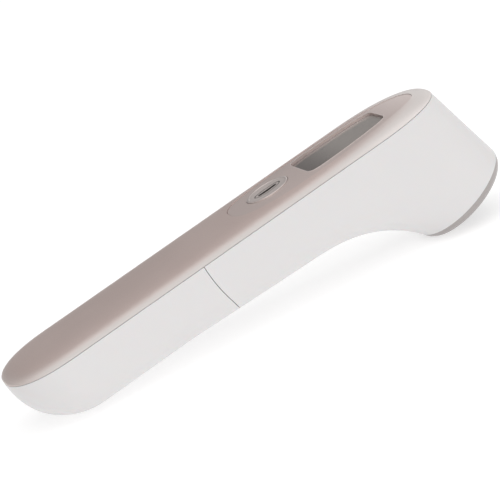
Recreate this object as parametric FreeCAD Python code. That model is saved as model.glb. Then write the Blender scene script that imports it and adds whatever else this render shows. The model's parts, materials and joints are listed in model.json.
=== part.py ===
"""Non-contact infrared thermometer: a straight handle under a two-part white shell,
a flat pearl top panel with display and scan button, and a bent-down sensor nose.

Everything is first built in the handle frame (millimetres): X runs from the tail end to
the head end, Z is square to the top panel, and z = 0 is the parting plane between the
panel and the white shell.  At the end each piece is turned about Y and dropped so that
the thermometer stands on its nose and tail, display up, with the origin under its middle.
"""
import FreeCAD
import Part
import math
import os

V = FreeCAD.Vector

# ---------------------------------------------------------------- driving dimensions
BODY_LENGTH = 165.0          # tail end to head end, at the parting plane
HALF_WIDTH = 19.2            # half the width of the handle
TAIL_ROUND = 21.3            # length over which the plan outline rounds off at the tail
HEAD_ROUND = 28.8            # the same, at the head
BODY_POWER = 2.4             # superellipse power of the outline and of the cross-section

HANDLE_DEPTH = 21.3          # parting plane to the underside of the handle
HANDLE_DROP = 1.95           # how much deeper the underside gets before the throat
DROP_START = 55.0            # where the underside starts to deepen
THROAT_START = 104.9         # where the underside turns down into the nose
TAIL_CURVE = 22.4            # length of the tail's curve in side view
TAIL_POWER = 2.2             # superellipse power of that curve
EDGE_DEPTH = 10.0            # depth of the rounding along the handle's lower edges

NOSE_X = 156.9               # centre of the nose rim
NOSE_Z = -34.3
NOSE_TILT = math.radians(18.4)   # the nose looks this far forward of straight down
NOSE_RADIUS = 18.0
NOSE_AXIS = V(math.sin(NOSE_TILT), 0, -math.cos(NOSE_TILT))

WALL = 1.8                   # thickness of the shell
GAP = 0.2                    # seam between the panel, head shell and battery cover

PANEL_HEIGHT = 2.9           # crown of the top panel above the parting plane
PANEL_POWER = 2.8            # how squarely the panel rolls over at its edge

SEAM_X = 69.3                # where the battery cover ends, at the parting plane
SEAM_RADIUS = 53.0           # the seam curves forward as it goes down

INLAY_REAR, INLAY_WIDE, INLAY_FRONT = 88.7, 118.0, 159.6
INLAY_POWER = 2.3           # higher is blunter at the nose end
INLAY_HALF_WIDTH = 13.3
INLAY_SINK = 0.15            # how far the inlay lies below the panel's crown
INLAY_FLOOR = 0.6            # height of the ledge that the inlay rests on
WINDOW_REAR, WINDOW_FRONT = 115.5, 146.9
WINDOW_MARGIN = 2.8          # inlay left beside the window
WINDOW_SINK = 0.9            # how far the window lies below the inlay
BUTTON_X, BUTTON_A, BUTTON_B = 103.1, 7.7, 7.2
BUTTON_TRAVEL = 0.6
FIT = 0.15                   # clearance round the inlay, window and button

LEDGE_LOW = -0.4             # underside of the panel
SKIRT_LOW = -2.0             # lower edge of the skirt inside the shell
BOARD_TOP, BOARD_LOW = -5.0, -6.6
POST_RADIUS = 2.1
FLEX_THICK = 0.3

CELL_RADIUS, CELL_LENGTH = 5.25, 44.5      # AAA cells
CELL_Y, CELL_Z = 5.6, -9.9
NUB_RADIUS, NUB_LENGTH = 1.9, 0.8
BAY_REAR, BAY_FRONT = 15.2, 62.7           # contact faces of the battery bay
SPRING_LENGTH = 2.9
PLATE = 0.4
BULKHEAD_X, BULKHEAD_THICK = 78.0, 1.5

AROUND = 44                  # points along each half row of a smooth surface
FINE = 12                    # profile points between two rows of the shell's surface

# positions of small things, worked out from the dimensions above
POSTS = [(92.0, 10.0), (154.0, 7.0)]        # x and y of the main board screws, on both sides
TRAY_POST = (67.0, 9.0)                     # the same, for the battery tray
HOUSING_SCREW = (11.0, -8.0)                # y and z of the screws through the bulkhead
WIRE_Z, WIRE_START = -5.8, BAY_FRONT + 2.6
TRAY_TOP, TRAY_ROOF, TRAY_LOW, TRAY_HALF = -3.2, -4.2, -12.5, 12.6
LEG_CIRCLE = 2.2                            # radius of the circle of the sensor's legs
SENSOR_BACK = 17.1                          # back of the sensor board, inward of the rim
SENSOR_SCREW_Y = 7.2


# ---------------------------------------------------------------- outlines
def plan_outline(scale=1.0, inset=0.0, count=72):
    """Closed plan outline, from the head tip round to the head tip again."""
    tail = (TAIL_ROUND, TAIL_ROUND - inset, BODY_POWER)
    head = (BODY_LENGTH - HEAD_ROUND, HEAD_ROUND - inset, BODY_POWER)
    return rounded_outline(tail, head, HALF_WIDTH - inset, scale, count)


def rounded_outline(rear, front, half_width, scale=1.0, count=72):
    """Outline with superellipse ends: rear and front are (join x, end length, power)."""
    x_rear = rear[0] - rear[1] * scale
    x_front = front[0] + front[1] * scale
    side = []
    for i in range(count + 1):
        share = (1 + math.cos(math.pi * i / count)) / 2
        x = x_rear + (x_front - x_rear) * share
        end, power = 0.0, rear[2]
        if x < rear[0]:
            end = (rear[0] - x) / (rear[1] * scale)
        if x > front[0]:
            end, power = (x - front[0]) / (front[1] * scale), front[2]
        y = half_width * scale * max(0.0, 1 - min(end, 1.0) ** power) ** (1 / power)
        side.append((x, y if 0 < i < count else 0.0))
    return side


def closed_wire(side, lift):
    """Periodic spline through a half outline and its mirror image; lift(x, y) gives z."""
    points = [V(x, y, lift(x, y)) for x, y in side]
    points += [V(p.x, -p.y, p.z) for p in reversed(points[1:-1])]
    curve = Part.BSplineCurve()
    curve.interpolate(points, PeriodicFlag=True)
    return Part.Wire(curve.toShape())


def prism(side, low, high):
    """Upright block with the given half outline."""
    wire = closed_wire(side, lambda x, y: low)
    return Part.Face(wire).extrude(V(0, 0, high - low))


# ---------------------------------------------------------------- white shell
def side_profile(inset):
    """Underside in side view, tail to nose lip, as (x, z, depth of edge rounding)."""
    depth = HANDLE_DEPTH - inset
    points = []
    edge, tail_edge = EDGE_DEPTH - inset / 2, TAIL_ROUND - inset
    steps = 14 * FINE
    for i in range(steps + 1):
        turn = math.pi / 2 * i / steps
        reach = TAIL_CURVE - inset
        x = TAIL_CURVE - reach * max(0.0, math.cos(turn)) ** (2 / TAIL_POWER)
        z = -depth * math.sin(turn) ** (2 / TAIL_POWER)
        points.append((x, z, tail_edge + (edge - tail_edge) * smooth_step(i / steps)))
    steps = 6 * FINE
    for i in range(1, steps + 1):
        points.append((TAIL_CURVE + (DROP_START - TAIL_CURVE) * i / steps, -depth, edge))
    for i in range(1, steps + 1):
        share = i / steps
        x = DROP_START + (THROAT_START - DROP_START) * share
        points.append((x, -depth - HANDLE_DROP * share, edge))
    points += throat(inset, edge)
    return points


def throat_circle():
    """Centre and radius of the throat: tangent to the underside and through the nose lip."""
    slope = math.atan(HANDLE_DROP / (THROAT_START - DROP_START))
    start_z = -HANDLE_DEPTH - HANDLE_DROP
    run = NOSE_X - NOSE_RADIUS * math.cos(NOSE_TILT) - THROAT_START
    rise = NOSE_Z - NOSE_RADIUS * math.sin(NOSE_TILT) - start_z
    below = -rise * math.cos(slope) - run * math.sin(slope)
    radius = (run * run + rise * rise) / (2 * below)
    centre = (THROAT_START - radius * math.sin(slope), start_z - radius * math.cos(slope))
    return centre, radius, slope


def throat(inset, edge):
    """The arc that turns down towards the nose and ends at the nose rim."""
    (centre_x, centre_z), radius, slope = throat_circle()
    radius += inset
    to_x, to_z = NOSE_X - centre_x, NOSE_Z - centre_z
    along = to_x * math.cos(NOSE_TILT) + to_z * math.sin(NOSE_TILT)
    reach = along - math.sqrt(along * along + radius * radius - to_x * to_x - to_z * to_z)
    lip_x = NOSE_X - reach * math.cos(NOSE_TILT)
    lip_z = NOSE_Z - reach * math.sin(NOSE_TILT)
    first = math.pi / 2 - slope
    last = math.atan2(lip_z - centre_z, lip_x - centre_x)
    opening_angle = math.pi / 2 - last + NOSE_TILT
    lip_edge = reach * math.sin(opening_angle)
    points = []
    steps = 14 * FINE
    for i in range(1, steps + 1):
        turn = first + (last - first) * i / steps
        x = centre_x + radius * math.cos(turn)
        z = centre_z + radius * math.sin(turn)
        points.append((x, z, edge + (lip_edge - edge) * smooth_step(i / steps)))
    return points


def nearest(profile, x, z):
    """Distance from a point to the profile, and the edge rounding there."""
    best = (1e9, 0.0)
    for (x0, z0, e0), (x1, z1, e1) in zip(profile, profile[1:]):
        dx, dz = x1 - x0, z1 - z0
        share = ((x - x0) * dx + (z - z0) * dz) / (dx * dx + dz * dz)
        share = min(1.0, max(0.0, share))
        gap = math.hypot(x - x0 - dx * share, z - z0 - dz * share)
        if gap < best[0]:
            best = (gap, e0 + (e1 - e0) * share)
    return best


def smooth_step(value):
    value = min(1.0, max(0.0, value))
    return value * value * (3 - 2 * value)


def shell_skin(inset):
    """Half of the white shell's surface, y >= 0, offset inwards by inset.

    It runs through rows of points that lie in a fan of planes.  The planes share a hinge
    line ahead of the head, where the parting plane meets the plane of the nose rim."""
    profile = side_profile(inset)
    beyond_x = profile[-1][0] - profile[-2][0]
    beyond_z = profile[-1][1] - profile[-2][1]
    last = profile[-1]
    extended = profile + [(last[0] + 100 * beyond_x, last[1] + 100 * beyond_z, last[2])]
    hinge_x = NOSE_X - NOSE_Z / math.tan(NOSE_TILT)
    head_x = BODY_LENGTH - inset
    rim_x = NOSE_X + (NOSE_RADIUS - inset) * math.cos(NOSE_TILT)
    rim_z = NOSE_Z + (NOSE_RADIUS - inset) * math.sin(NOSE_TILT)
    lean = math.atan2(rim_x - head_x, -rim_z)
    rows = []
    for x_rear, z_rear, _ in profile[::FINE]:
        fan = math.atan2(-z_rear, hinge_x - x_rear)
        share = (hinge_x - head_x) / (math.cos(fan) + math.sin(fan) * math.tan(lean))
        x_front = hinge_x - share * math.cos(fan)
        z_front = -share * math.sin(fan)
        towards_nose = smooth_step(fan / NOSE_TILT)
        row = []
        for i in range(AROUND + 1):
            along = (1 + math.cos(math.pi * i / AROUND)) / 2
            x = x_rear + (x_front - x_rear) * along
            z = z_rear + (z_front - z_rear) * along
            y = 0.0
            if 0 < i < AROUND:
                y = shell_half_width(x, z, fan, towards_nose, extended, lean, head_x, inset)
            row.append(V(x, y, z))
        rows.append(row)
    return spline_net(rows)


def spline_net(rows):
    """Smooth face through rows of points.  Each row starts and ends square to y = 0."""
    steps = [i / (len(rows[0]) - 1) for i in range(len(rows[0]))]
    curves = []
    for row in rows:
        curve = Part.BSplineCurve()
        out = V(0, (row[1] - row[0]).Length / steps[1], 0)
        back = V(0, -(row[-2] - row[-1]).Length / steps[1], 0)
        curve.interpolate(Points=row, Parameters=steps, InitialTangent=out, FinalTangent=back,
                          Scale=False)
        curves.append(curve)
    marks = [0.0]
    for row, following in zip(rows, rows[1:]):
        marks.append(marks[-1] + (following[-1] - row[-1]).Length)
    net = []
    for column in zip(*(curve.getPoles() for curve in curves)):
        across = Part.BSplineCurve()
        across.interpolate(Points=list(column), Parameters=marks)
        net.append(across.getPoles())
    surface = Part.BSplineSurface()
    along = curves[0]
    surface.buildFromPolesMultsKnots(net, along.getMultiplicities(), across.getMultiplicities(),
                                     along.getKnots(), across.getKnots(), False, False, 3, 3)
    return surface.toShape()


def mirrored(shape):
    return shape.mirror(V(0, 0, 0), V(0, 1, 0))


def rim_edges(skin, plane_point, normal):
    """The edges of a skin that lie in a plane."""
    found = []
    for edge in skin.Edges:
        ends = [edge.valueAt(edge.FirstParameter), edge.valueAt(edge.LastParameter),
                edge.valueAt((edge.FirstParameter + edge.LastParameter) / 2)]
        if max(abs((p - plane_point).dot(normal)) for p in ends) < 1e-4:
            found.append(edge)
    return found


def flat_face(skins, point, normal):
    """The flat face that closes a pair of half skins in a plane."""
    edges = [e for skin in skins for e in rim_edges(skin, point, normal)]
    wire = Part.Wire(Part.__sortEdges__(edges))
    return Part.Face(Part.Plane(point, normal), wire)


def tub(inset, overrun=0.0):
    """Solid under a skin.  An overrun carries it on past the parting plane and the nose."""
    half = shell_skin(inset)
    skins = (half, mirrored(half))
    top = flat_face(skins, V(0, 0, 0), V(0, 0, 1))
    nose = flat_face(skins, V(NOSE_X, 0, NOSE_Z), NOSE_AXIS)
    solid = sewn([*skins, top, nose])
    if overrun:
        solid = solid.fuse([top.extrude(V(0, 0, overrun)), nose.extrude(NOSE_AXIS * overrun)])
    return solid


def sewn(faces):
    shell = Part.makeShell([f for face in faces for f in face.Faces])
    shell.sewShape()
    solid = Part.makeSolid(shell)
    if solid.Volume < 0:
        solid.reverse()
    return solid


def shell_half_width(x, z, fan, towards_nose, profile, lean, head_x, inset):
    """Half width of the shell at a point of its middle plane."""
    gap, edge = nearest(profile, x, z)
    low = max(0.0, 1 - gap / edge)
    wall_gap = (head_x - x) * math.cos(lean) - z * math.sin(lean)
    wall_edge = (HEAD_ROUND - inset) * math.cos(lean)
    wall_edge += (NOSE_RADIUS - inset - wall_edge) * towards_nose
    front = min(1.0, max(0.0, 1 - wall_gap / wall_edge))
    power = BODY_POWER + (2 - BODY_POWER) * towards_nose
    width = HALF_WIDTH - inset + (NOSE_RADIUS - HALF_WIDTH) * fan / NOSE_TILT
    rest = 1 - low ** power - front ** power
    return width * max(0.0, rest) ** (1 / power)


# ---------------------------------------------------------------- small helpers
def box(x0, x1, y0, y1, z0, z1):
    return Part.makeBox(x1 - x0, y1 - y0, z1 - z0, V(x0, y0, z0))


def rod(radius, start, end):
    line = end - start
    return Part.makeCylinder(radius, line.Length, start, line)


def post(radius, x, y, z0, z1):
    return rod(radius, V(x, y, z0), V(x, y, z1))


def fused(shapes):
    whole = shapes[0].fuse(shapes[1:])
    return whole.removeSplitter()


def both_sides(shape):
    return [shape, mirrored(shape)]


def group(shapes):
    """Separate solids that share one node."""
    return Part.makeCompound([solid for shape in shapes for solid in shape.Solids])


def rounded_upright(shape, radius):
    """Round the upright edges of a block."""
    upright = [e for e in shape.Edges if len(e.Vertexes) == 2
               and (e.Vertexes[0].Point - e.Vertexes[1].Point).cross(V(0, 0, 1)).Length < 1e-6]
    return shape.makeFillet(radius, upright)


def turned(points):
    """Ring or disc about the nose axis, from (radius, height outwards of the nose rim)."""
    corners = [V(radius, 0, height) for radius, height in points]
    face = Part.Face(Part.makePolygon(corners + corners[:1]))
    return on_nose(face.revolve(V(0, 0, 0), V(0, 0, 1), 360))


def on_nose(shape):
    shape = shape.copy()
    shape.rotate(V(0, 0, 0), V(0, 1, 0), 180 - math.degrees(NOSE_TILT))
    shape.translate(V(NOSE_X, 0, NOSE_Z))
    return shape


# ---------------------------------------------------------------- top panel and inlay
def crown(sink=0.0):
    """Low dome over the plan outline: the shape of the panel's top, lowered by sink."""
    rows = []
    steps = 18
    last_turn = math.radians(82)
    for i in range(steps + 1):
        turn = last_turn * i / steps
        side = plan_outline(scale=math.cos(turn) ** (2 / PANEL_POWER), count=AROUND)
        rows.append([V(x, y, PANEL_HEIGHT * math.sin(turn)) for x, y in side])
    half = spline_net(rows)
    skins = (half, mirrored(half))
    low = flat_face(skins, V(0, 0, 0), V(0, 0, 1))
    top = flat_face(skins, V(0, 0, PANEL_HEIGHT * math.sin(last_turn)), V(0, 0, 1))
    solid = sewn([*skins, low, top])
    solid.translate(V(0, 0, -sink))
    return solid


def inlay_outline(grow=0.0):
    rear = (INLAY_WIDE, INLAY_WIDE - INLAY_REAR + grow, 2.8)
    front = (INLAY_WIDE, INLAY_FRONT - INLAY_WIDE + grow, INLAY_POWER)
    return rounded_outline(rear, front, INLAY_HALF_WIDTH + grow)


def window_outline(grow=0.0, count=60):
    middle = (WINDOW_REAR + WINDOW_FRONT) / 2
    half_length = (WINDOW_FRONT - WINDOW_REAR) / 2
    side = []
    for i in range(count + 1):
        across = math.cos(math.pi * i / count)
        x = middle + half_length * across
        ahead = max(0.0, x - INLAY_WIDE) / (INLAY_FRONT - INLAY_WIDE)
        bulge = (1 - ahead ** INLAY_POWER) ** (1 / INLAY_POWER)
        half = INLAY_HALF_WIDTH * bulge - WINDOW_MARGIN + grow
        y = half * max(0.0, 1 - abs(across) ** 8) ** 0.125
        side.append((middle + (half_length + grow) * across, y if 0 < i < count else 0.0))
    return side


def button_outline(grow=0.0):
    end = (BUTTON_X, BUTTON_A + grow, 2)
    return rounded_outline(end, end, BUTTON_B + grow)


def top_panel():
    panel = crown()
    ledge = prism(plan_outline(inset=2.2), LEDGE_LOW, 0.3)
    skirt = prism(plan_outline(inset=2.1), SKIRT_LOW, 0.2)
    skirt = skirt.cut(prism(plan_outline(inset=3.2), SKIRT_LOW - 1, 0.1))
    adds = [ledge, skirt]
    for x, y in POSTS:
        adds += both_sides(post(POST_RADIUS, x, y, BOARD_TOP, 0))
    adds += both_sides(post(POST_RADIUS, *TRAY_POST, -3.2, 0))
    screw_y, screw_z = HOUSING_SCREW
    block = box(BULKHEAD_X + BULKHEAD_THICK + 0.2, BULKHEAD_X + 8, screw_y - 3, screw_y + 2.4,
                screw_z - 3, 0)
    adds += both_sides(block)
    panel = panel.fuse(adds)
    panel = panel.cut(prism(inlay_outline(FIT), INLAY_FLOOR, 5))
    panel = panel.cut(box(113.7, 149.3, -12.3, 12.3, -3, INLAY_FLOOR))
    panel = panel.cut(prism(button_outline(1.3), -3, INLAY_FLOOR + 0.1))
    holes = []
    for x, y in POSTS:
        holes += both_sides(post(0.75, x, y, BOARD_TOP - 1, -0.6))
    holes += both_sides(post(0.75, *TRAY_POST, -5, -0.6))
    start = V(BULKHEAD_X, screw_y, screw_z)
    holes += both_sides(rod(0.95, start, start + V(7.5, 0, 0)))
    return panel.cut(holes)


def inlay_plate():
    plate = crown(INLAY_SINK).common(prism(inlay_outline(), INLAY_FLOOR, 5))
    plate = plate.cut(prism(window_outline(), 0, 5))
    return plate.cut(prism(button_outline(), 0, 5))


def display_lens():
    lens = crown(INLAY_SINK + WINDOW_SINK)
    return lens.common(prism(window_outline(-FIT), INLAY_FLOOR + 0.02, 5))


def scan_button():
    """Cap with a shallow dish for the fingertip, retaining flange and stem."""
    cap = crown(INLAY_SINK - 0.2).common(prism(button_outline(-FIT), 0.3, 5))
    dish_radius, dish_depth = 60.0, 0.3
    top = PANEL_HEIGHT - INLAY_SINK + 0.2
    dish = Part.makeSphere(dish_radius, V(BUTTON_X, 0, top + dish_radius - dish_depth))
    flange = prism(button_outline(0.8), -0.2, 0.4)
    stem = post(2.5, BUTTON_X, 0, -0.35, 0)
    return fused([cap.cut(dish), flange, stem])


# ---------------------------------------------------------------- white shell parts
def seam_tool(offset):
    """Block on the head side of the cover seam, which curves forward as it goes down."""
    x = SEAM_X + offset
    sweep = math.radians(50)
    half_turn = V(x + SEAM_RADIUS * (1 - math.cos(sweep / 2)), -30,
                  -SEAM_RADIUS * math.sin(sweep / 2))
    end = V(x + SEAM_RADIUS * (1 - math.cos(sweep)), -30, -SEAM_RADIUS * math.sin(sweep))
    top, start = V(x, -30, 20), V(x, -30, 0)
    far_low, far_top = V(220, -30, end.z), V(220, -30, 20)
    edges = [Part.makeLine(top, start), Part.Arc(start, half_turn, end).toShape()]
    edges += [Part.makeLine(end, far_low), Part.makeLine(far_low, far_top)]
    edges.append(Part.makeLine(far_top, top))
    return Part.Face(Part.Wire(edges)).extrude(V(0, 60, 0))


def white_shells():
    """The head shell and the battery cover."""
    outer, cavity = tub(0.0), tub(WALL, 5.0)
    shell = outer.cut(cavity)
    rim_gap = box(-10, 200, -30, 30, -GAP, 5)
    head = shell.common(seam_tool(GAP / 2)).cut(rim_gap)
    cover = shell.cut(seam_tool(-GAP / 2)).cut(rim_gap)
    return finish_head(head, cavity), finish_cover(cover)


def finish_head(head, cavity):
    """Add the bulkhead that closes the battery bay."""
    slab = box(BULKHEAD_X, BULKHEAD_X + BULKHEAD_THICK, -25, 25, -30, SKIRT_LOW - 0.3)
    bulkhead = cavity.common(slab)
    screw_y, screw_z = HOUSING_SCREW
    holes = both_sides(rod(1.1, V(70, screw_y, screw_z), V(82, screw_y, screw_z)))
    holes += both_sides(rod(0.95, V(70, CELL_Y, WIRE_Z), V(82, CELL_Y, WIRE_Z)))
    return head.fuse(bulkhead).cut(holes)


def finish_cover(cover):
    """Add the two guide ribs and the tongue that reaches under the head shell."""
    ribs = both_sides(box(24, 67, 15.6, 17.9, -3.0, -2.2))
    tongue = box(60, 76, -5, 5, -19.5, -18.3)
    root = box(60, 69, -5, 5, -20.6, -18.3)
    return cover.fuse([*ribs, tongue, root])


# ---------------------------------------------------------------- battery bay
def battery_tray():
    rear_x, front_x = BAY_REAR - 1.8, BAY_FRONT + 1.8
    roof = box(rear_x, 70.0, -TRAY_HALF, TRAY_HALF, TRAY_ROOF, TRAY_TOP)
    flanges = box(24.0, 66.0, -16.7, 16.7, TRAY_ROOF, TRAY_TOP)
    sides = both_sides(box(rear_x + 4, front_x, TRAY_HALF - 1.2, TRAY_HALF, TRAY_LOW, TRAY_TOP))
    rear = box(rear_x, BAY_REAR - PLATE, -10.8, 10.8, TRAY_LOW, TRAY_TOP)
    front = box(BAY_FRONT + PLATE + 0.1, front_x, -TRAY_HALF, TRAY_HALF, TRAY_LOW, TRAY_TOP)
    tray = fused([roof, flanges, *sides, rear, front])
    slots = both_sides(box(BAY_FRONT - 1, front_x + 1, CELL_Y - 1.2, CELL_Y + 1.2,
                           WIRE_Z - 0.4, WIRE_Z + 0.4))
    holes = both_sides(post(0.9, *TRAY_POST, -6, -2))
    return tray.cut([*slots, *holes])


def cell(towards_head):
    """One AAA cell.  The two cells lie side by side, facing opposite ways."""
    y = CELL_Y if towards_head else -CELL_Y
    can_length = CELL_LENGTH - NUB_LENGTH
    start = BAY_REAR + SPRING_LENGTH if towards_head else BAY_REAR + 0.1 + NUB_LENGTH
    can = rod(CELL_RADIUS, V(start, y, CELL_Z), V(start + can_length, y, CELL_Z))
    can = can.makeFillet(0.5, can.Edges)
    nub_start = start + can_length - 0.1 if towards_head else start + 0.1
    nub_end = start + can_length + NUB_LENGTH if towards_head else start - NUB_LENGTH
    return fused([can, rod(NUB_RADIUS, V(nub_start, y, CELL_Z), V(nub_end, y, CELL_Z))])


def bridge_contact():
    return box(BAY_REAR - PLATE + 0.05, BAY_REAR - 0.05, -10.0, 10.0, -12.5, -6.5)


def terminal_plates():
    x0, x1 = BAY_FRONT + 0.05, BAY_FRONT + PLATE - 0.05
    plate = box(x0, x1, CELL_Y - 4, CELL_Y + 4, -12.5, WIRE_Z + 0.3)
    tab = box(x0, WIRE_START, CELL_Y - 1, CELL_Y + 1, WIRE_Z - 0.3, WIRE_Z + 0.3)
    return group(both_sides(fused([plate, tab])))


def contact_spring(x, y, step):
    """Conical spring of half turns, each a half ring that leans up to meet the next."""
    wire_radius, wide, narrow, half_turns = 0.3, 3.2, 2.0, 7
    climb = (SPRING_LENGTH - 2 * wire_radius - 0.15) / half_turns
    start, side = V(wide, 0, 0), -1
    coils = []
    for i in range(1, half_turns + 1):
        reach = wide + (narrow - wide) * i / half_turns
        end = V(side * reach, 0, climb * i)
        run = end - start
        axis = V(-side * run.z, 0, side * run.x)
        section = Part.Face(Part.Wire(Part.makeCircle(wire_radius, start, V(0, 1, 0))))
        coils.append(section.revolve((start + end) * 0.5, axis, 180))
        start, side = end, -side
    spring = fused(coils)
    spring.rotate(V(0, 0, 0), V(0, 1, 0), 90 * step)
    spring.translate(V(x + step * (wire_radius + 0.05), y, CELL_Z))
    return spring


def contact_springs():
    return group([contact_spring(BAY_REAR, CELL_Y, 1), contact_spring(BAY_FRONT, -CELL_Y, -1)])


def battery_wires():
    start, end = V(WIRE_START, CELL_Y, WIRE_Z), V(88.0, CELL_Y, WIRE_Z)
    return group(both_sides(rod(0.6, start, end)))


# ---------------------------------------------------------------- electronics
def main_board():
    board = rounded_upright(box(88, 158, -13, 13, BOARD_LOW, BOARD_TOP), 5.0)
    holes = []
    for x, y in POSTS:
        holes += both_sides(post(0.9, x, y, BOARD_LOW - 1, BOARD_TOP + 1))
    return board.cut(holes)


def screw(x, y, z, length):
    """Pan-head screw pointing up, with the underside of its head at z."""
    head = post(1.8, x, y, z - 1.1, z)
    head = head.makeFillet(0.5, [head.Edges[0] if head.Edges[0].CenterOfMass.z < z - 1 else
                                 head.Edges[2]])
    slot = box(x - 2, x + 2, y - 0.2, y + 0.2, z - 1.2, z - 0.7)
    return fused([head, post(0.7, x, y, z - 0.1, z + length)]).cut(slot)


def board_screws():
    return group([s for x, y in POSTS for s in both_sides(screw(x, y, BOARD_LOW, 5.5))])


def tray_screws():
    return group(both_sides(screw(*TRAY_POST, TRAY_ROOF, 3.0)))


def housing_screws():
    """Two screws along the handle, from the battery bay through the bulkhead."""
    body = screw(0, 0, 0, 7.2)
    body.rotate(V(0, 0, 0), V(0, 1, 0), 90)
    body.translate(V(BULKHEAD_X, *HOUSING_SCREW))
    return group(both_sides(body))


def scan_switch():
    body = box(BUTTON_X - 3, BUTTON_X + 3, -3, 3, BOARD_TOP, -1.7)
    return fused([body, post(1.75, BUTTON_X, 0, -1.8, -0.35 - BUTTON_TRAVEL - 0.05)])


def lcd_glass():
    return box(114.0, 149.0, -12.0, 12.0, -1.3, 0.5)


def lcd_backlight():
    return box(114.6, 148.4, -9.6, 9.6, -3.2, -1.4)


def lcd_frame():
    frame = box(113.0, 150.0, -12.9, 12.9, BOARD_TOP, -1.45)
    return frame.cut(box(114.3, 148.7, -11.8, 11.8, BOARD_TOP - 1, 0))


def elastomer_strips():
    return group(both_sides(box(116, 147, 9.9, 11.5, BOARD_TOP, -1.3)))


def microcontroller():
    return box(120, 129, -4.5, 4.5, BOARD_LOW - 1.4, BOARD_LOW)


def board_components():
    """Crystal, regulator and passive parts on the underside of the main board."""
    spots = [(98, 6, 3.2, 1.6), (98, 2, 3.2, 1.6), (104, -7, 4.0, 2.4), (110, 5, 2.0, 1.2),
             (110, 1.5, 2.0, 1.2), (110, -2, 2.0, 1.2), (116, 8, 5.0, 3.0), (146, -10.5, 3.2, 2.5)]
    return group([box(x, x + length, y, y + width, BOARD_LOW - 0.9, BOARD_LOW)
                  for x, y, length, width in spots])


def buzzer():
    can = post(5.5, 142, 6.2, BOARD_LOW - 3.2, BOARD_LOW)
    return can.cut(post(1.0, 142, 6.2, BOARD_LOW - 4, BOARD_LOW - 2.2))


# ---------------------------------------------------------------- nose
def nose_ring():
    ring = turned([(9.2, 0.2), (9.2, 2.5), (9.7, 2.94), (15.6, 2.94), (16.5, 2.62), (17.3, 1.7),
                   (17.75, 0.7), (17.9, 0.0), (15.4, 0.0), (15.4, -3.0), (14.2, -3.0),
                   (14.2, 0.2)])
    return ring


def sensor_bezel():
    return turned([(8.9, 2.4), (9.0, 0.0), (13.8, 0.0), (13.8, -1.2), (5.6, -1.2), (5.6, -2.6),
                   (4.5, -2.6), (4.5, -2.0)])


def sensor_window():
    return turned([(0, -3.5), (4.4, -3.5), (4.4, -2.7), (0, -2.7)])


def sensor_gasket():
    return turned([(4.6, -3.5), (5.6, -3.5), (5.6, -2.7), (4.6, -2.7)])


def wave_guide():
    """Tapered bright tube that leads the heat rays from the window to the sensor."""
    return turned([(3.8, -3.6), (5.2, -3.6), (5.2, -11.0), (2.4, -11.0)])


def sensor_holder():
    return turned([(5.7, -1.3), (9.0, -1.3), (9.0, -15.4), (5.3, -15.4), (5.3, -3.6),
                   (5.7, -3.6)])


def leg_circle(radius, low, high):
    """Four short rods on the circle of the sensor's legs."""
    rods = []
    for quarter in range(4):
        angle = math.pi / 4 + quarter * math.pi / 2
        x, y = LEG_CIRCLE * math.cos(angle), LEG_CIRCLE * math.sin(angle)
        rods.append(on_nose(post(radius, x, y, low, high)))
    return rods


def thermopile():
    """Round metal can with four legs."""
    can = turned([(0, -11.1), (4.1, -11.1), (4.1, -14.6), (4.6, -14.6), (4.6, -15.2),
                  (0, -15.2)])
    return fused([can, *leg_circle(0.23, -17.8, -15.1)])


def sensor_board():
    board = turned([(0, -SENSOR_BACK), (9.5, -SENSOR_BACK), (9.5, -15.5), (0, -15.5)])
    screw_holes = both_sides(on_nose(post(0.8, 0, SENSOR_SCREW_Y, -18, -15)))
    return board.cut([*leg_circle(0.35, -18, -15), *screw_holes])


def sensor_screws():
    """Hold the sensor board to its holder."""
    return group(both_sides(on_nose(screw(0, SENSOR_SCREW_Y, -SENSOR_BACK, 1.5))))


def flex_cable():
    """Flat ribbon from the main board's underside to the back of the sensor board."""
    inward = NOSE_AXIS * -1
    forward = V(math.cos(NOSE_TILT), 0, math.sin(NOSE_TILT))
    back_face = V(NOSE_X, 0, NOSE_Z) + inward * (SENSOR_BACK + FLEX_THICK + 0.3)
    touch_down = back_face + forward * -5.2
    end = back_face + forward * -2.2
    high = BOARD_LOW - 0.15
    path = [V(134, 0, high), V(138, 0, high), V(141.7, 0, high - 2.4), V(142.7, 0, high - 6.8),
            touch_down + inward * 2.4 - forward * 1.9, touch_down, end]
    middle = Part.BSplineCurve()
    middle.interpolate(Points=path, InitialTangent=V(1, 0, 0), FinalTangent=forward)
    ribbon = middle.toShape().extrude(V(0, 4, 0))
    ribbon.translate(V(0, -6, 0))
    return ribbon.makeOffsetShape(FLEX_THICK, 1e-3, fill=True)


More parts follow.
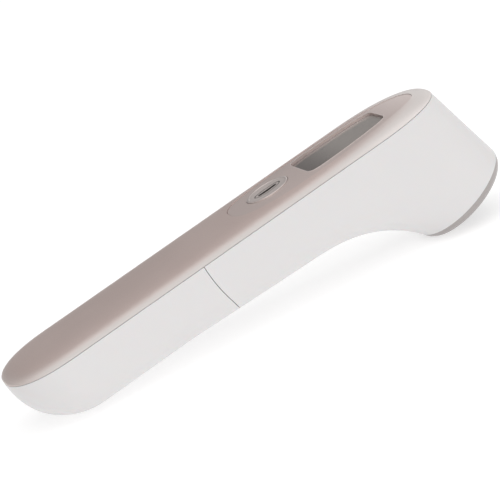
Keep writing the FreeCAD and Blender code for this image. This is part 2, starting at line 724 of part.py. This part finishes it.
# ---------------------------------------------------------------- assembly
def build():
    head_shell, battery_cover = white_shells()
    return {
        "top_panel": top_panel(), "inlay_plate": inlay_plate(), "display_lens": display_lens(),
        "scan_button": scan_button(), "head_shell": head_shell, "battery_cover": battery_cover,
        "battery_tray": battery_tray(), "battery_1": cell(True), "battery_2": cell(False),
        "bridge_contact": bridge_contact(), "terminal_plates": terminal_plates(),
        "contact_springs": contact_springs(), "battery_wires": battery_wires(),
        "main_board": main_board(), "board_screws": board_screws(),
        "tray_screws": tray_screws(), "housing_screws": housing_screws(),
        "scan_switch": scan_switch(), "lcd_glass": lcd_glass(),
        "lcd_backlight": lcd_backlight(), "lcd_frame": lcd_frame(),
        "elastomer_strips": elastomer_strips(), "microcontroller": microcontroller(),
        "board_components": board_components(), "buzzer": buzzer(),
        "nose_ring": nose_ring(), "sensor_bezel": sensor_bezel(),
        "sensor_window": sensor_window(), "sensor_gasket": sensor_gasket(),
        "wave_guide": wave_guide(), "sensor_holder": sensor_holder(),
        "thermopile": thermopile(), "sensor_board": sensor_board(),
        "sensor_screws": sensor_screws(), "flex_cable": flex_cable(),
    }


def rest_angle():
    """Slope of the line under the tail and the nose ring's rear lip."""
    lip = V(NOSE_X, 0, NOSE_Z) + NOSE_AXIS * 2.94
    lip = lip - V(math.cos(NOSE_TILT), 0, math.sin(NOSE_TILT)) * 15.6
    slopes = [math.atan((z - lip.z) / (lip.x - x)) for x, z, _ in side_profile(0.0) if x < DROP_START]
    return math.degrees(min(slopes))


def main():
    os.makedirs("parts", exist_ok=True)
    parts = build()
    turn = rest_angle()
    for shape in parts.values():
        shape.rotate(V(0, 0, 0), V(0, 1, 0), -turn)
    whole = Part.makeCompound([parts[n] for n in ("top_panel", "head_shell", "battery_cover",
                                                  "nose_ring")]).optimalBoundingBox(False)
    shift = V(-(whole.XMin + whole.XMax) / 2, 0, -whole.ZMin)
    print("rest angle %.6f, shift %.6f %.6f" % (turn, shift.x, shift.z))
    for name, shape in parts.items():
        shape.translate(shift)
        print("%-18s valid %s solids %d volume %.1f" % (name, shape.isValid(),
                                                        len(shape.Solids), shape.Volume))
        shape.exportStep("parts/%s.step" % name)


if __name__ == "__main__":
    main()
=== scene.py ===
"""Looks for the handheld infrared thermometer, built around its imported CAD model.

Sizes in the handle's own frame are in millimetres, as in the CAD source: X from the tail
to the head, Z square to the top panel, z = 0 at the parting plane.  handle_point() takes
them to the row frame, in metres, in which every Blender object lives.
"""

import json
import math

import bpy
from mathutils import Matrix, Vector


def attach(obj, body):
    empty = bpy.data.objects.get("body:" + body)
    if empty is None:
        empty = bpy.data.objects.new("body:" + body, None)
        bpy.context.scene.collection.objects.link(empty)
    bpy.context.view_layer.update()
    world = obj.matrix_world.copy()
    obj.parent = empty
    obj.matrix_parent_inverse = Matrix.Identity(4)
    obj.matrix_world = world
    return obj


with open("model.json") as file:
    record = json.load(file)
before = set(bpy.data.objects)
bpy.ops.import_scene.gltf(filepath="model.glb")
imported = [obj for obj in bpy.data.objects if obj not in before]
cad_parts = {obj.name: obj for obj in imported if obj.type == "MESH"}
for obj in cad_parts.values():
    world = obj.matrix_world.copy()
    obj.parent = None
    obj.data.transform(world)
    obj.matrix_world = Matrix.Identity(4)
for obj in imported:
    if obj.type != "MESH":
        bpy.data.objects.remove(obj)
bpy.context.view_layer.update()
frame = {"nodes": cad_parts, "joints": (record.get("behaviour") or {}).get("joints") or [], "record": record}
MM = 0.001

# ---------------------------------------------------------------- the handle's frame
NOSE = Vector((156.9, 0, -34.3))
NOSE_TILT = math.radians(18.4)
NOSE_AXIS = Vector((math.sin(NOSE_TILT), 0, -math.cos(NOSE_TILT)))
RING_FACE = 2.94             # front face of the ring, beyond the nose rim
MOUNT_OFFSET = Vector((0, 12.5, 0))   # the mount's point, from the nose axis

PANEL_HEIGHT, PANEL_POWER, FLAT_TURN = 2.9, 2.8, math.radians(82)
HALF_WIDTH, BODY_POWER = 19.2, 2.4
TAIL_ROUND, HEAD_JOIN, HEAD_ROUND = 21.3, 136.2, 28.8
INLAY_SINK = 0.15
INLAY_TOP = PANEL_HEIGHT * math.sin(FLAT_TURN) - INLAY_SINK
INLAY_WIDE, INLAY_REACH, INLAY_HALF_WIDTH, INLAY_POWER = 118.0, 41.6, 13.3, 2.3
WINDOW_REAR, WINDOW_FRONT, WINDOW_MARGIN = 115.5, 146.9, 2.8
DISPLAY_MIDDLE = (131.5, 0, 0)
BUTTON_X, DISH_LOW, DISH_RADIUS = 103.1, 2.65, 60.0
CELL_REAR, CELL_LENGTH = 15.2, 47.5


def handle_transform():
    """Matrix from the handle's frame, in millimetres, to the row frame, in metres."""
    joint = next(j for j in frame["joints"] if j["name"] == "cover_slide")
    along = -Vector(joint["axis"])
    turn = Matrix((along, (0, 1, 0), (-along.z, 0, along.x))).transposed()
    mount = next(m for m in frame["record"]["mounts"] if m["name"] == "nose_face")
    known = NOSE + NOSE_AXIS * RING_FACE + MOUNT_OFFSET
    shift = Vector(mount["pos_m"]) - turn @ (known * MM)
    return Matrix.Translation(shift) @ (turn * MM).to_4x4()


TO_ROW = handle_transform()
TO_ROW_TURN = TO_ROW.to_3x3() * (1 / MM)


def handle_point(x, y, z):
    return TO_ROW @ Vector((x, y, z))


def handle_direction(vector):
    return TO_ROW_TURN @ Vector(vector)


# ---------------------------------------------------------------- camera
def add_camera():
    """The photograph's view: low over the near side, the head up to the right."""
    azimuth, elevation, roll = (math.radians(v) for v in (-10.739, 17.0, 31.722))
    handle_middle = Vector((82.5, 0, 0))
    distance = 700.0
    level = Vector((math.cos(azimuth), math.sin(azimuth), 0))
    back = Vector((math.sin(azimuth) * math.cos(elevation),
                   -math.cos(azimuth) * math.cos(elevation), math.sin(elevation)))
    rise = back.cross(level)
    right = level * math.cos(roll) - rise * math.sin(roll)
    up = level * math.sin(roll) + rise * math.cos(roll)
    data = bpy.data.cameras.new("camera")
    data.sensor_width, data.lens = 36.0, 159.18
    data.shift_x, data.shift_y = 0.06156, -0.03314
    data.clip_start, data.clip_end = 0.01, 50.0
    camera = bpy.data.objects.new("camera", data)
    axes = [handle_direction(v) for v in (right, up, back)]
    place = Matrix(axes).transposed().to_4x4()
    place.translation = TO_ROW @ (handle_middle + back * distance)
    camera.matrix_world = place
    bpy.context.scene.collection.objects.link(camera)
    bpy.context.scene.camera = camera


# ---------------------------------------------------------------- node helpers
class Shader:
    """A material's node tree, with short ways to add and link nodes."""

    def __init__(self, name, **sockets):
        self.material = bpy.data.materials.new(name)
        self.material.use_nodes = True
        self.tree = self.material.node_tree
        self.surface = self.tree.nodes["Principled BSDF"]
        for socket, value in sockets.items():
            self.surface.inputs[socket.replace("_", " ")].default_value = value
        self.place = self.add("ShaderNodeTexCoord").outputs["Object"]

    def add(self, kind, inputs=None, **settings):
        node = self.tree.nodes.new(kind)
        for key, value in settings.items():
            setattr(node, key, value)
        for key, value in (inputs or {}).items():
            if isinstance(value, bpy.types.NodeSocket):
                self.tree.links.new(value, node.inputs[key])
            else:
                node.inputs[key].default_value = value
        return node

    def set(self, socket, value):
        self.tree.links.new(value, self.surface.inputs[socket])

    def noise(self, scale, detail=3.0, place=None, roughness=0.5):
        node = self.add("ShaderNodeTexNoise", {"Vector": place or self.place, "Scale": scale,
                                               "Detail": detail, "Roughness": roughness})
        return node.outputs["Fac"]

    def math(self, operation, a, b=0.0, clamp=False):
        node = self.add("ShaderNodeMath", {0: a, 1: b}, operation=operation, use_clamp=clamp)
        return node.outputs[0]

    def between(self, value, low, high, to_low=0.0, to_high=1.0, smooth=True):
        kind = "SMOOTHSTEP" if smooth else "LINEAR"
        node = self.add("ShaderNodeMapRange", {"Value": value, "From Min": low, "From Max": high,
                                               "To Min": to_low, "To Max": to_high},
                        interpolation_type=kind)
        return node.outputs["Result"]

    def mix(self, share, a, b):
        node = self.add("ShaderNodeMix", {"Factor": share}, data_type="RGBA")
        for socket, value in zip(("A", "B"), (a, b)):
            target = next(s for s in node.inputs if s.name == socket and s.type == "RGBA")
            if isinstance(value, bpy.types.NodeSocket):
                self.tree.links.new(value, target)
            else:
                target.default_value = (*value, 1.0)
        return next(s for s in node.outputs if s.type == "RGBA")

    def along(self, direction, origin):
        """Distance in millimetres along a direction of the handle's frame, from origin."""
        row_direction = handle_direction(direction)
        start = handle_point(*origin)
        moved = self.add("ShaderNodeVectorMath", {0: self.place, 1: start},
                         operation="SUBTRACT").outputs["Vector"]
        dot = self.add("ShaderNodeVectorMath", {0: moved, 1: row_direction},
                       operation="DOT_PRODUCT").outputs["Value"]
        return self.math("DIVIDE", dot, MM)

    def bump(self, height, depth_mm, strength=1.0, under=None):
        inputs = {"Height": height, "Distance": depth_mm * MM, "Strength": strength}
        if under is not None:
            inputs["Normal"] = under
        return self.add("ShaderNodeBump", inputs).outputs["Normal"]


def srgb(red, green, blue):
    """Linear colour of an 8-bit sRGB colour."""
    return tuple(((c / 255 + 0.055) / 1.055) ** 2.4 if c > 10 else c / 255 / 12.92
                 for c in (red, green, blue))


def moulded(name, colour, roughness=0.4, grain=1600.0, depth=0.012, cloud=0.04, **sockets):
    """Moulded plastic: fine spark-eroded grain, faint flow clouds and uneven gloss."""
    shader = Shader(name, **sockets)
    light = tuple(min(1.0, c * (1 + cloud)) for c in colour)
    dark = tuple(c * (1 - cloud) for c in colour)
    shader.set("Base Color", shader.mix(shader.noise(45.0), dark, light))
    gloss = shader.between(shader.noise(130.0), 0.3, 0.7, roughness * 0.88, roughness * 1.12)
    shader.set("Roughness", gloss)
    shader.set("Normal", shader.bump(shader.noise(grain, 2.0), depth))
    return shader


def metal(name, colour, roughness=0.3, scratch=(60.0, 2200.0, 2200.0), **sockets):
    """Rolled or plated metal with fine scratches along X and uneven tarnish."""
    shader = Shader(name, Metallic=1.0, **sockets)
    stretched = shader.add("ShaderNodeMapping", {"Vector": shader.place, "Scale": scratch})
    fine = shader.noise(1.0, 3.0, stretched.outputs["Vector"])
    dark = tuple(c * 0.8 for c in colour)
    shader.set("Base Color", shader.mix(shader.noise(160.0), dark, colour))
    shader.set("Roughness", shader.between(fine, 0.3, 0.7, roughness * 0.7, roughness * 1.4))
    shader.set("Normal", shader.bump(fine, 0.004))
    return shader


# ---------------------------------------------------------------- materials
def pearl_paint():
    """Warm grey pearl lacquer with tiny mica flakes; its fade to white down the rolled edge and its paler
    head end are a painted highlight.
    """
    shader = Shader("pearl_paint", Coat_Weight=0.3, Coat_Roughness=0.3, Coat_IOR=1.5)
    flakes = shader.add("ShaderNodeTexVoronoi", {"Vector": shader.place, "Scale": 9000.0})
    sparkle = shader.between(flakes.outputs["Color"], 0.2, 1.0)
    clouds = shader.between(shader.noise(25.0, 2.0), 0.35, 0.65)
    low = shader.mix(clouds, srgb(216, 196, 190), srgb(221, 201, 195))
    high = shader.mix(clouds, srgb(225, 206, 200), srgb(230, 212, 206))
    pearl = shader.mix(sparkle, low, high)
    x = shader.along((1, 0, 0), (0, 0, 0))
    height = shader.along((0, 0, 1), (0, 0, 0))
    # painted highlight: towards the head the panel turns paler and the whitening climbs higher up the roll,
    # standing in for a reflection
    head_highlight_mask = shader.between(x, 112.0, 152.0)
    roll_start, roll_end = 2.3, 0.6
    rolled = shader.between(shader.math("SUBTRACT", height, head_highlight_mask), roll_start, roll_end)
    # the painted edge highlight is weaker at the tail
    past_tail = shader.between(x, 0.0, 15.0, 0.5, 1.0)
    edge = shader.math("MULTIPLY", rolled, past_tail)
    # pale colours of the painted highlight, paler still towards the head
    pale = shader.mix(head_highlight_mask, srgb(196, 190, 187), srgb(213, 206, 203))
    shader.set("Base Color", shader.mix(edge, pearl, pale))
    # the metal falls away under the painted edge highlight, so that it reads whiter
    shader.set("Metallic", shader.between(edge, 0.0, 1.0, 0.7, 0.05))
    shader.set("Roughness", shader.between(flakes.outputs["Distance"], 0.0, 0.9, 0.34, 0.46))
    shader.set("Normal", shader.bump(shader.noise(500.0, 2.0), 0.004))
    return shader.material


def inlay_plastic():
    """Polished inlay, close to the panel's tone, with a fainter pearl."""
    shader = Shader("inlay_plastic", Metallic=0.6, Coat_Weight=0.3, Coat_Roughness=0.22)
    pearl = shader.between(shader.noise(6000.0, 1.0), 0.35, 0.65)
    clouds = shader.noise(30.0, 2.0)
    base = shader.mix(clouds, srgb(212, 195, 190), srgb(217, 200, 195))
    shader.set("Base Color", shader.mix(pearl, base, srgb(224, 207, 202)))
    shader.set("Roughness", shader.between(clouds, 0.3, 0.7, 0.3, 0.36))
    shader.set("Normal", shader.bump(shader.noise(700.0, 2.0), 0.003))
    return shader.material


def window_plastic():
    """Smoked hard-coated acrylic with faint moulding waves; its graduated tint, darker at the rear and
    lighter towards the front, is a painted reflection.
    """
    shader = Shader("window_plastic", IOR=1.49, Transmission_Weight=0.45)
    fade_length = 18.0
    # painted reflection: the window darkens towards its rear end and lightens towards the front
    painted_reflection_ramp = shader.between(shader.along((1, 0, 0), (WINDOW_REAR, 0, 0)), 0.0, fade_length)
    # dark rear and light front colours of the painted reflection
    painted_dark_rear = shader.mix(shader.noise(60.0), srgb(124, 116, 113), srgb(128, 120, 117))
    thin = shader.mix(shader.noise(60.0), srgb(178, 171, 166), srgb(182, 175, 170))
    shader.set("Base Color", shader.mix(painted_reflection_ramp, painted_dark_rear, thin))
    shader.set("Roughness", shader.between(shader.noise(300.0), 0.3, 0.7, 0.01, 0.05))
    shader.set("Normal", shader.bump(shader.noise(70.0, 1.0), 0.004))
    return shader.material


def display_glass():
    """Blank reflective display: grey active area inside a darker printed border."""
    shader = Shader("display_glass", Coat_Weight=0.4, Coat_Roughness=0.05)
    half_length, half_width, blur = 12.3, 7.4, 0.3
    x = shader.math("ABSOLUTE", shader.along((1, 0, 0), DISPLAY_MIDDLE))
    y = shader.math("ABSOLUTE", shader.along((0, 1, 0), DISPLAY_MIDDLE))
    past_end = shader.between(x, half_length, half_length + blur)
    past_side = shader.between(y, half_width, half_width + blur)
    border = shader.math("MAXIMUM", past_end, past_side)
    weave = shader.add("ShaderNodeTexChecker", {"Vector": shader.place, "Scale": 3500.0})
    fibre = shader.mix(weave.outputs["Fac"], srgb(173, 164, 159), srgb(178, 170, 165))
    grey = shader.mix(shader.noise(400.0), fibre, srgb(182, 174, 169))
    shader.set("Base Color", shader.mix(border, grey, srgb(132, 123, 119)))
    shader.set("Roughness", shader.between(shader.noise(900.0), 0.3, 0.7, 0.3, 0.42))
    return shader.material


def white_plastic():
    """The white shell: satin, with the faint grain of an eroded mould."""
    return moulded("white_shell_plastic", srgb(213, 211, 211), roughness=0.38, grain=2600.0,
                   depth=0.006, cloud=0.012, Coat_Weight=0.12, Coat_Roughness=0.25,
                   Subsurface_Weight=0.08, Subsurface_Scale=0.002).material


def ring_plastic():
    """Grey ring round the nose: satin paint with fine turning marks round its axis."""
    shader = Shader("ring_paint", Metallic=0.35, Coat_Weight=0.25, Coat_Roughness=0.2)
    spread = nose_radius(shader)
    turning = shader.noise(1.0, 3.0, combined(shader, shader.math("MULTIPLY", spread, 9.0)))
    shader.set("Base Color", shader.mix(turning, srgb(155, 149, 147), srgb(172, 166, 164)))
    shader.set("Roughness", shader.between(turning, 0.3, 0.7, 0.34, 0.44))
    shader.set("Normal", shader.bump(turning, 0.006))
    return shader.material


def combined(shader, value):
    return shader.add("ShaderNodeCombineXYZ", {"X": value}).outputs["Vector"]


def nose_radius(shader):
    """Distance from the nose axis, in millimetres."""
    forward = (math.cos(NOSE_TILT), 0, math.sin(NOSE_TILT))
    u = shader.along(forward, NOSE)
    v = shader.along((0, 1, 0), NOSE)
    squares = shader.math("ADD", shader.math("MULTIPLY", u, u), shader.math("MULTIPLY", v, v))
    return shader.math("SQRT", squares)


def bezel_plastic():
    """Black funnel with fine light-trapping threads."""
    shader = Shader("bezel_plastic")
    threads = shader.math("SINE", shader.math("MULTIPLY", nose_radius(shader), 12.0))
    ridge = shader.between(threads, -1.0, 1.0)
    shader.set("Base Color", shader.mix(ridge, (0.008, 0.008, 0.009), (0.03, 0.03, 0.032)))
    shader.set("Roughness", shader.between(shader.noise(900.0), 0.3, 0.7, 0.42, 0.6))
    shader.set("Normal", shader.bump(ridge, 0.12))
    return shader.material


def sensor_glass():
    """Coated infrared window: near black with a violet cast that drifts across it."""
    shader = Shader("sensor_glass", Metallic=0.6, Coat_Weight=1.0, Coat_Roughness=0.02)
    film = shader.between(nose_radius(shader), 0.5, 4.2)
    inner = shader.mix(shader.noise(90.0), (0.03, 0.02, 0.06), (0.05, 0.03, 0.09))
    shader.set("Base Color", shader.mix(film, inner, (0.02, 0.05, 0.09)))
    shader.set("Roughness", shader.between(shader.noise(500.0), 0.3, 0.7, 0.05, 0.12))
    return shader.material


def cell_wrap(name, towards_head):
    """Plain sleeve of a cell: two colours with a stripe between, bare metal at both ends."""
    shader = Shader(name, Coat_Weight=0.5, Coat_Roughness=0.1)
    x = shader.along((1, 0, 0), (CELL_REAR, 0, 0))
    if not towards_head:
        x = shader.math("SUBTRACT", CELL_LENGTH, x)
    bare = shader.math("ADD", shader.between(x, 3.5, 3.3), shader.between(x, 45.7, 45.9), True)
    band = shader.between(x, 33.0, 33.1)
    stripe = shader.math("MULTIPLY", shader.between(x, 31.6, 31.7), shader.between(x, 32.7, 32.6))
    wear = shader.noise(220.0, 4.0)
    sleeve = shader.mix(wear, (0.04, 0.12, 0.11), (0.06, 0.16, 0.145))
    end = shader.mix(wear, (0.42, 0.44, 0.43), (0.5, 0.52, 0.51))
    printed = shader.mix(stripe, shader.mix(band, sleeve, end), (0.75, 0.75, 0.73))
    shader.set("Base Color", shader.mix(bare, printed, (0.62, 0.62, 0.62)))
    shader.set("Metallic", bare)
    shader.set("Roughness", shader.between(wear, 0.3, 0.7, 0.24, 0.36))
    return shader.material


def circuit_board(name):
    """Green solder mask over copper tracks, with tinned pads."""
    shader = Shader(name, Coat_Weight=0.35, Coat_Roughness=0.15)
    tracks = shader.add("ShaderNodeTexBrick", {"Vector": shader.place, "Scale": 330.0,
                                               "Mortar Size": 0.045, "Brick Width": 1.6,
                                               "Row Height": 0.42}, offset=0.37)
    line = tracks.outputs["Fac"]
    pads = shader.add("ShaderNodeTexVoronoi", {"Vector": shader.place, "Scale": 260.0})
    pad = shader.between(pads.outputs["Distance"], 0.16, 0.13)
    mask = shader.mix(shader.noise(120.0), (0.006, 0.075, 0.03), (0.01, 0.1, 0.042))
    tracked = shader.mix(line, mask, (0.02, 0.17, 0.06))
    shader.set("Base Color", shader.mix(pad, tracked, (0.7, 0.68, 0.62)))
    shader.set("Metallic", shader.math("MULTIPLY", pad, 0.9))
    shader.set("Roughness", shader.between(shader.noise(600.0), 0.3, 0.7, 0.25, 0.4))
    shader.set("Normal", shader.bump(shader.math("MAXIMUM", line, pad), 0.03))
    return shader.material


def flex_film():
    """Amber polyimide ribbon with copper lines along it."""
    shader = Shader("flex_film", Coat_Weight=0.6, Coat_Roughness=0.1)
    y = shader.along((0, 1, 0), (0, 0, 0))
    wave = shader.math("SINE", shader.math("MULTIPLY", y, 9.0))
    line = shader.between(wave, -0.1, 0.1)
    film = shader.mix(shader.noise(150.0), (0.38, 0.14, 0.02), (0.46, 0.18, 0.03))
    shader.set("Base Color", shader.mix(line, film, (0.6, 0.3, 0.12)))
    shader.set("Metallic", shader.math("MULTIPLY", line, 0.6))
    shader.set("Roughness", shader.between(shader.noise(500.0), 0.3, 0.7, 0.22, 0.35))
    return shader.material


def soft_rubber(name, colour):
    return moulded(name, colour, roughness=0.7, grain=1200.0, depth=0.03, cloud=0.12).material


def node_materials():
    white, pearl = white_plastic(), pearl_paint()
    dark = moulded("dark_plastic", srgb(52, 52, 55), 0.5, 1400.0, 0.02, 0.1).material
    board = circuit_board("circuit_board")
    plated = metal("plated_steel", (0.62, 0.61, 0.6), 0.28).material
    return {
        "top_panel": pearl, "inlay_plate": inlay_plastic(), "display_lens": window_plastic(),
        "scan_button": moulded("button_plastic", srgb(214, 203, 199), 0.34, 2200.0, 0.005, 0.02,
                               Coat_Weight=0.3, Coat_Roughness=0.25, Metallic=0.55).material,
        "head_shell": white, "battery_cover": white, "battery_tray": dark,
        "battery_1": cell_wrap("cell_wrap_1", True), "battery_2": cell_wrap("cell_wrap_2", False),
        "bridge_contact": plated, "terminal_plates": plated,
        "contact_springs": metal("spring_wire", (0.55, 0.54, 0.52), 0.22).material,
        "battery_wires": soft_rubber("wire_insulation", srgb(170, 24, 20)),
        "main_board": board, "sensor_board": board,
        "board_screws": plated, "tray_screws": plated, "housing_screws": plated,
        "sensor_screws": plated,
        "scan_switch": moulded("switch_body", srgb(38, 38, 40), 0.35, 1800.0, 0.01).material,
        "lcd_glass": display_glass(),
        "lcd_backlight": moulded("light_guide", srgb(235, 236, 230), 0.25, 900.0, 0.02).material,
        "lcd_frame": moulded("display_frame", srgb(225, 225, 222), 0.5, 1500.0, 0.02).material,
        "elastomer_strips": soft_rubber("zebra_strip", srgb(78, 78, 84)),
        "microcontroller": moulded("chip_resin", srgb(30, 30, 32), 0.55, 2600.0, 0.02).material,
        "board_components": moulded("component_body", srgb(46, 40, 36), 0.45, 2000.0, 0.02,
                                    0.25).material,
        "buzzer": moulded("buzzer_can", srgb(24, 24, 26), 0.4, 1500.0, 0.015).material,
        "nose_ring": ring_plastic(), "sensor_bezel": bezel_plastic(),
        "sensor_window": sensor_glass(),
        "sensor_gasket": soft_rubber("gasket_rubber", srgb(40, 40, 42)),
        "wave_guide": metal("bright_aluminium", (0.86, 0.86, 0.87), 0.12).material,
        "sensor_holder": dark,
        "thermopile": metal("nickel_can", (0.66, 0.63, 0.58), 0.2).material,
        "flex_cable": flex_film(),
    }


# ---------------------------------------------------------------- added pieces
def dish_height(x, y):
    """Surface of the scan button's dish."""
    reach = (x - BUTTON_X) ** 2 + y * y
    return min(INLAY_TOP + 0.2, DISH_LOW + DISH_RADIUS - math.sqrt(DISH_RADIUS ** 2 - reach))


def inlay_height(x, y):
    """Surface of the inlay: the panel's low dome, sunk a little."""
    past = max(0.0, x - HEAD_JOIN) / HEAD_ROUND
    size = (abs(y / HALF_WIDTH) ** BODY_POWER + past ** BODY_POWER) ** (1 / BODY_POWER)
    dome = math.sqrt(1 - min(1.0, size) ** PANEL_POWER)
    return PANEL_HEIGHT * min(dome, math.sin(FLAT_TURN)) - INLAY_SINK


def mesh_object(name, vertices, faces, material):
    mesh = bpy.data.meshes.new(name)
    mesh.from_pydata([tuple(v) for v in vertices], [], faces)
    mesh.update()
    for polygon in mesh.polygons:
        polygon.use_smooth = True
    mesh.materials.append(material)
    made = bpy.data.objects.new(name, mesh)
    bpy.context.scene.collection.objects.link(made)
    return made


def bead(name, line, width, proud, height, material):
    """Closed raised line: a half-round bead along the points (x, y), on the surface height."""
    count = len(line)
    vertices, faces = [], []
    section = [(-0.5, -0.5), (-0.4, 0.35), (-0.15, 0.9), (0.15, 0.9), (0.4, 0.35), (0.5, -0.5)]
    for i, (x, y) in enumerate(line):
        before, after = line[i - 1], line[(i + 1) % count]
        run = Vector((after[0] - before[0], after[1] - before[1])).normalized()
        for across, rise in section:
            px, py = x + run.y * across * width, y - run.x * across * width
            vertices.append(handle_point(px, py, height(px, py) + proud * rise))
    size = len(section)
    for i in range(count):
        here, there = i * size, (i + 1) % count * size
        for j in range(size):
            k = (j + 1) % size
            faces.append((here + j, here + k, there + k, there + j))
    return mesh_object(name, vertices, faces, material)


def pad(name, line, proud, height, material):
    """Low closed pad over the outline (x, y), its edge let into the surface height."""
    middle = sum(x for x, _ in line) / len(line)
    rings = ((0.4, 1.0), (0.88, 0.9), (1.0, 0.3), (1.0, -0.5))
    count = len(line)
    vertices, faces = [], []
    for scale, rise in rings:
        for x, y in line:
            px, py = middle + (x - middle) * scale, y * scale
            vertices.append(handle_point(px, py, height(px, py) + proud * rise))
    for ring in range(len(rings) - 1):
        inner, outer = ring * count, (ring + 1) * count
        for i in range(count):
            k = (i + 1) % count
            faces.append((inner + i, outer + i, outer + k, inner + k))
    faces.append(tuple(range(count)))
    faces.append(tuple(reversed(range(len(vertices) - count, len(vertices)))))
    return mesh_object(name, vertices, faces, material)


def superellipse(share, power):
    """Half width left, out of 1, at a share of the way to the end of a superellipse."""
    return (1 - share ** power) ** (1 / power)


def oval(half_length, half_width, power=2.0, steps=96):
    """Closed superellipse of points about the button's centre."""
    points = []
    for i in range(steps):
        turn = 2 * math.pi * i / steps
        c, s = math.cos(turn), math.sin(turn)
        points.append((BUTTON_X + half_length * math.copysign(abs(c) ** (2 / power), c),
                       half_width * math.copysign(abs(s) ** (2 / power), s)))
    return points


def add_button_marks():
    """The button's soft rim, and plain marks on it: a thin oval and a filled bar."""
    ink = moulded("mark_ink", srgb(38, 33, 31), 0.85, 1800.0, 0.004, 0.05,
                  Specular_IOR_Level=0.15).material
    rim_paint = moulded("rim_paint", srgb(206, 195, 191), 0.34, 2200.0, 0.005, 0.02,
                        Metallic=0.55, Coat_Weight=0.3, Coat_Roughness=0.25).material
    marks = (bead("button_oval", oval(4.75, 2.2), 0.42, 0.03, dish_height, ink),
             pad("button_bar", oval(3.5, 0.8, 4.0), 0.04, dish_height, ink),
             bead("button_rim", oval(6.95, 6.45), 1.0, 0.12, dish_height, rim_paint))
    for mark in marks:
        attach(mark, "button")


def add_window_bead():
    """Thin pale bead round the display window."""
    middle, half_length = (WINDOW_REAR + WINDOW_FRONT) / 2, (WINDOW_FRONT - WINDOW_REAR) / 2
    steps, grow, end_power = 60, 0.1, 8
    near = []
    for i in range(1, steps):
        across = math.cos(math.pi * i / steps)
        x = middle + half_length * across
        bulge = superellipse(max(0.0, x - INLAY_WIDE) / INLAY_REACH, INLAY_POWER)
        half = INLAY_HALF_WIDTH * bulge - WINDOW_MARGIN + grow
        near.append((middle + (half_length + grow) * across,
                     half * superellipse(abs(across), end_power)))
    line = near + [(x, -y) for x, y in reversed(near)]
    paint = moulded("bead_paint", srgb(214, 203, 199), 0.3, 2200.0, 0.004, 0.02,
                    Metallic=0.4).material
    made = bead("window_bead", line, 0.3, 0.05, inlay_height, paint)
    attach(made, "housing")


def add_seam_lip():
    """Pale tongue inside the parting line, seen through the gap under the panel."""
    inset, steps, width, proud, level = 0.45, 120, 0.4, 0.09, -0.12
    line = []
    for i in range(steps):
        turn = 2 * math.pi * i / steps
        c, s = math.cos(turn), math.sin(turn)
        join, reach = (HEAD_JOIN, HEAD_ROUND) if c > 0 else (TAIL_ROUND, TAIL_ROUND)
        x = join + math.copysign((reach - inset) * abs(c) ** (2 / BODY_POWER), c)
        y = math.copysign((HALF_WIDTH - inset) * abs(s) ** (2 / BODY_POWER), s)
        line.append((x, y))
    made = bead("seam_lip", line, width, proud, lambda x, y: level, white_plastic())
    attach(made, "housing")


# ---------------------------------------------------------------- floor and lights
FAR_GLOW, NEAR_GLOW = 0.285, 0.97
NEAR_SIDE = Vector((0.35, -0.94, 0.0))   # towards the bright half of the studio


def add_floor():
    shader = Shader("floor_paper", Emission_Color=(1.0, 1.0, 1.0, 1.0), Emission_Strength=0.6)
    shader.set("Base Color", shader.mix(shader.noise(3.0), (0.5, 0.5, 0.5), (0.53, 0.53, 0.53)))
    shader.set("Roughness", shader.between(shader.noise(40.0), 0.3, 0.7, 0.75, 0.9))
    half = 6.0
    corners = [(-half, -half, 0), (half, -half, 0), (half, half, 0), (-half, half, 0)]
    floor = mesh_object("floor", corners, [(0, 1, 2, 3)], shader.material)


def add_area_light(name, place, target, size, watts):
    data = bpy.data.lights.new(name, "AREA")
    data.shape = "RECTANGLE"
    data.size, data.size_y = size
    data.energy = watts
    light = bpy.data.objects.new(name, data)
    light.location = place
    aim = Vector(target) - Vector(place)
    light.rotation_euler = aim.to_track_quat("-Z", "Y").to_euler()
    bpy.context.scene.collection.objects.link(light)


def add_world():
    """White studio, dimmer on the far side so that the top panel keeps its tone."""
    world = bpy.data.worlds.new("studio")
    world.use_nodes = True
    tree = world.node_tree
    background = tree.nodes["Background"]
    where = tree.nodes.new("ShaderNodeTexCoord")
    side = tree.nodes.new("ShaderNodeVectorMath")
    side.operation = "DOT_PRODUCT"
    side.inputs[1].default_value = NEAR_SIDE
    tree.links.new(where.outputs["Generated"], side.inputs[0])
    ramp = tree.nodes.new("ShaderNodeMapRange")
    ramp.interpolation_type = "SMOOTHSTEP"
    for key, value in (("From Min", -0.9), ("From Max", 0.7), ("To Min", FAR_GLOW),
                       ("To Max", NEAR_GLOW)):
        ramp.inputs[key].default_value = value
    tree.links.new(side.outputs["Value"], ramp.inputs["Value"])
    tree.links.new(ramp.outputs["Result"], background.inputs["Strength"])
    background.inputs["Color"].default_value = (1.0, 0.995, 0.99, 1.0)
    bpy.context.scene.world = world


def add_lights():
    add_world()
    add_area_light("overhead", (0.1, -0.2, 1.7), (0, 0, 0), (2.2, 2.2), 11.0)
    add_area_light("front_left", (-0.6, -1.6, 0.8), (0, 0, 0.03), (1.4, 1.2), 3.0)
    add_area_light("head_glow", (0.85, 1.5, 0.5), (0.06, 0, 0.04), (0.8, 0.7), 0.8)


# ---------------------------------------------------------------- put together
def main():
    bpy.context.scene.view_settings.view_transform = "Standard"
    add_camera()
    for node, material in node_materials().items():
        mesh = frame["nodes"][node].data
        mesh.materials.clear()
        mesh.materials.append(material)
    add_button_marks()
    add_window_bead()
    add_seam_lip()
    add_floor()
    add_lights()


main()
